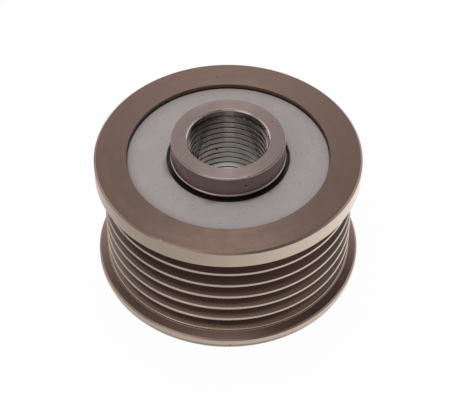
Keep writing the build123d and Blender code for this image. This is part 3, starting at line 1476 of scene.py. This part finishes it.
@dataclass
class Studio:
    """A pale floor, soft light all round, a lamp and the camera.

    Attributes:
        focal_length: The lens, in millimetres of the sensor's width.
        sensor_width: That width.
        clip: Where the camera's sight starts and ends, in metres.
        camera_place: Where it stands, in millimetres.
        camera_down: How far it looks down, in degrees.
        floor_half: Half the floor's side, in millimetres.
        floor_colour: The floor's colour.
        floor_own_light: Share of the floor's look that is its own light.
        floor_pool: The light that the floor gives to glossy pieces: its level at the pulley, and
            what it gains for each metre to the right and for each metre backwards.
        floor_pool_limits: Its least and most.
        sky: Levels of the light all round, from straight below at 0 to straight above at 1.
        viewer_side: Share of the light left high up on the viewer's side.
        viewer_sines: How far towards the viewer a direction leans where that share sets in.
        high_sines: How far it leans upwards there.
        left_side: Share of the light left on the left.
        left_sines: How far to the left a direction leans where that share sets in.
        right_side: The same share on the right.
        right_sines: The same lean to the right.
        raised_sines: How far upwards both lean.
        window: Direction of a window behind the viewer's left shoulder.
        window_light: What it adds.
        window_cosines: Its soft edge, about that direction.
        lamp_turn: The lamp's direction round the pulley, in degrees from +X.
        lamp_elevation: Its elevation in degrees.
        lamp_distance: Its distance in millimetres.
        lamp_side: Its side in millimetres.
        lamp_power: Its power in watts.
    """

    focal_length: float = 131.16
    sensor_width: float = 36.0
    clip: tuple[float, float] = (0.01, 20.0)
    camera_place: Place = (-0.15, -247.98, 277.75)
    camera_down: float = 46.59
    floor_half: float = 900.0
    floor_colour: Colour = (0.93, 0.93, 0.93)
    floor_own_light: float = 0.96
    floor_pool: tuple[float, float, float] = (1.17, 7.6, 5.2)
    floor_pool_limits: tuple[float, float] = (0.60, 1.50)
    sky: tuple[tuple[float, Colour], ...] = (
        (0.00, (0.90, 0.90, 0.90)),
        (0.50, (1.90, 1.90, 1.90)),
        (0.66, (1.60, 1.60, 1.60)),
        (0.70, (1.20, 1.20, 1.20)),
        (0.82, (1.30, 1.30, 1.30)),
        (0.84, (1.00, 1.00, 1.00)),
        (0.86, (0.74, 0.74, 0.74)),
        (0.90, (0.60, 0.60, 0.60)),
        (0.94, (0.70, 0.70, 0.70)),
        (1.00, (1.12, 1.12, 1.12)),
    )
    viewer_side: float = 0.70
    viewer_sines: tuple[float, float] = (0.08, 0.26)
    high_sines: tuple[float, float] = (0.68, 0.78)
    left_side: float = 0.50
    left_sines: tuple[float, float] = (0.06, 0.38)
    right_side: float = 0.26
    right_sines: tuple[float, float] = (0.04, 0.36)
    raised_sines: tuple[float, float] = (0.42, 0.58)
    window: tuple[float, float, float] = (-0.50, -0.58, 0.64)
    window_light: float = 1.0
    window_cosines: tuple[float, float] = (0.93, 0.97)
    lamp_turn: float = 90.0
    lamp_elevation: float = 72.0
    lamp_distance: float = 700.0
    lamp_side: float = 240.0
    lamp_power: float = 0.65

    def floor(self) -> None:
        """Lay the floor, which looks white and lights glossy pieces more from the right and the back."""
        half = self.floor_half
        corners = [(-half, -half), (half, -half), (half, half), (-half, half)]
        mesh = bpy.data.meshes.new("floor")
        mesh.from_pydata([Vector((x, y, 0.0)) * MM for x, y in corners], [], [(0, 1, 2, 3)])
        piece = bpy.data.objects.new("floor", mesh)
        bpy.context.scene.collection.objects.link(piece)
        material = bpy.data.materials.new("pale_floor")
        material.use_nodes = True
        nodes = Nodes(material.node_tree)
        path = nodes.add("ShaderNodeLightPath")
        camera = nodes.value(path.outputs["Is Camera Ray"])
        seen = camera + nodes.value(path.outputs["Is Glossy Ray"])
        seen = (seen + nodes.value(path.outputs["Is Transmission Ray"])).clamped()
        right, back, _ = nodes.split(nodes.add("ShaderNodeTexCoord").outputs["Object"])
        middle, rightwards, backwards = self.floor_pool
        dimmest, brightest = self.floor_pool_limits
        pool = middle + right * rightwards + back * backwards
        pool = pool.math("MAXIMUM", dimmest).math("MINIMUM", brightest)
        glow = nodes.grey(camera + pool * (1.0 - camera))
        matt = nodes.add("ShaderNodeBsdfDiffuse", {}, {"Color": opaque(self.floor_colour)})
        white = nodes.add("ShaderNodeEmission", {}, {"Color": glow, "Strength": 1.0})
        sockets = {0: seen * self.floor_own_light, 1: matt.outputs[0], 2: white.outputs[0]}
        mixed = nodes.add("ShaderNodeMixShader", {}, sockets)
        nodes.add("ShaderNodeOutputMaterial", {}, {"Surface": mixed.outputs[0]})
        mesh.materials.append(material)

    def world(self) -> None:
        """Light from all round: bright at the horizon, quieter above it, dim sides and a window."""
        world = bpy.data.worlds.new("soft_room")
        world.use_nodes = True
        bpy.context.scene.world = world
        nodes = Nodes(world.node_tree)
        right, back, up = nodes.split(nodes.add("ShaderNodeTexCoord").outputs["Generated"])
        ramp = nodes.add("ShaderNodeValToRGB", {"stops": self.sky}, {0: up * 0.5 + 0.5})
        towards_viewer = nodes.rise(back * -1.0, *self.viewer_sines) * nodes.rise(up, *self.high_sines)
        raised = nodes.rise(up, *self.raised_sines)
        level = 1.0 - towards_viewer * (1.0 - self.viewer_side)
        level = level - level * raised * nodes.rise(right, *self.right_sines) * (1.0 - self.right_side)
        level = level - level * raised * nodes.rise(right * -1.0, *self.left_sines) * (1.0 - self.left_side)
        facing = right * self.window[0] + back * self.window[1] + up * self.window[2]
        level = level + nodes.rise(facing, *self.window_cosines) * self.window_light
        colour = nodes.shaded(ramp.outputs[0], level)
        shader = nodes.add("ShaderNodeBackground", {}, {"Color": colour, "Strength": 1.0})
        nodes.add("ShaderNodeOutputWorld", {}, {"Surface": shader.outputs[0]})

    def lamp(self) -> None:
        """Hang a square soft lamp behind the pulley and high above it, which looks at it."""
        light = bpy.data.lights.new("lamp_behind", "AREA")
        light.size = self.lamp_side * MM
        light.energy = self.lamp_power
        lamp = bpy.data.objects.new("lamp_behind", light)
        bpy.context.scene.collection.objects.link(lamp)
        turn, rise = math.radians(self.lamp_turn), math.radians(self.lamp_elevation)
        direction = Vector((math.cos(turn) * math.cos(rise), math.sin(turn) * math.cos(rise), math.sin(rise)))
        lamp.location = direction * self.lamp_distance * MM
        lamp.rotation_mode = "QUATERNION"
        lamp.rotation_quaternion = direction.to_track_quat("Z", "Y")

    def camera(self) -> None:
        """Stand the camera where the photograph was taken from."""
        data = bpy.data.cameras.new("camera")
        data.sensor_width = self.sensor_width
        data.lens = self.focal_length
        data.clip_start, data.clip_end = self.clip
        camera = bpy.data.objects.new("camera", data)
        bpy.context.scene.collection.objects.link(camera)
        camera.location = Vector(self.camera_place) * MM
        camera.rotation_euler = (math.radians(90.0 - self.camera_down), 0.0, 0.0)
        bpy.context.scene.camera = camera

    def make(self) -> None:
        """Set up the whole studio."""
        self.floor()
        self.world()
        self.lamp()
        self.camera()
        bpy.context.scene.view_settings.view_transform = "Standard"
        log.info("studio: floor, world, lamp and camera")


def main() -> None:
    """Build the pulley's visible pieces in order, then the studio."""
    logging.basicConfig(level=logging.INFO, format="%(name)s: %(message)s")
    rim_steel = TrackSteel(
        name="rim_steel",
        colour=(0.186, 0.125, 0.104),
        roughness=0.25,
        spots=(
            Spot(Wear.DENT, 28.60, -89.2, 1.1, 0.30),
            Spot(Wear.DENT, 24.06, 95.9, 29.9, 0.24),
            Spot(Wear.BRIGHT, 28.45, -156.8, 28.1, 0.36),
            Spot(Wear.BRIGHT, 28.15, -119.2, 29.9, 0.20),
        ),
    )
    hub_steel = HubSteel(
        name="hub_steel",
        colour=(0.255, 0.194, 0.181),
        roughness=0.25,
        mark_depth=0.001,
        spots=(
            Spot(Wear.DENT, 10.55, 27.7, 34.47, 0.32),
            Spot(Wear.DENT, 10.42, 6.2, 34.47, 0.26),
            Spot(Wear.DENT, 12.10, -72.3, 32.0, 0.36),
            Spot(Wear.DENT, 8.60, 110.8, 32.2, 0.30),
            Spot(Wear.DENT, 8.15, 107.3, 23.6, 0.40),
        ),
    )
    cover_grey = CoatedSheet(
        name="cover_grey",
        colour=(0.395, 0.352, 0.347),
        bore_band_tint=Tint((0.10, 0.08, 0.07), 0.65),
        bore_band_from=13.0,
        bore_band_reach=1.1,
        edge=21.6,
    )
    rubber = MouldedRubber(name="seal_rubber", colour=(0.012, 0.010, 0.009)).material()
    Rim(finish=rim_steel).make()
    CoverRing(finish=cover_grey).make(Lathe(columns=320))
    hub = Hub(finish=hub_steel)
    rear_seal = LipSeal(node="rear_lip_seal", shaft=hub.neck_radius, faces_rear=True)
    rear_seal.make(Lathe(columns=256), rubber)
    front_seal = LipSeal(node="front_lip_seal", shaft=hub.seat_radius, faces_rear=False)
    front_seal.make(Lathe(columns=256), rubber)
    hub.make()
    RollerWorks(
        finishes={
            "race_steel": GroundSteel("race_steel", (0.56, 0.56, 0.57), 0.22),
            "roller_steel": GroundSteel("roller_steel", (0.66, 0.66, 0.68), 0.14),
            "spring_steel": SpringStrip("spring_steel", (0.50, 0.51, 0.55)),
            "cage_polymer": MouldedPolymer("cage_polymer", (0.034, 0.042, 0.026), (0.10, 0.11, 0.08)),
            "washer_polymer": MouldedPolymer("washer_polymer", (0.35, 0.30, 0.22), (0.45, 0.41, 0.33)),
        }
    ).dress()
    Studio().make()


if __name__ == "__main__":
    main()
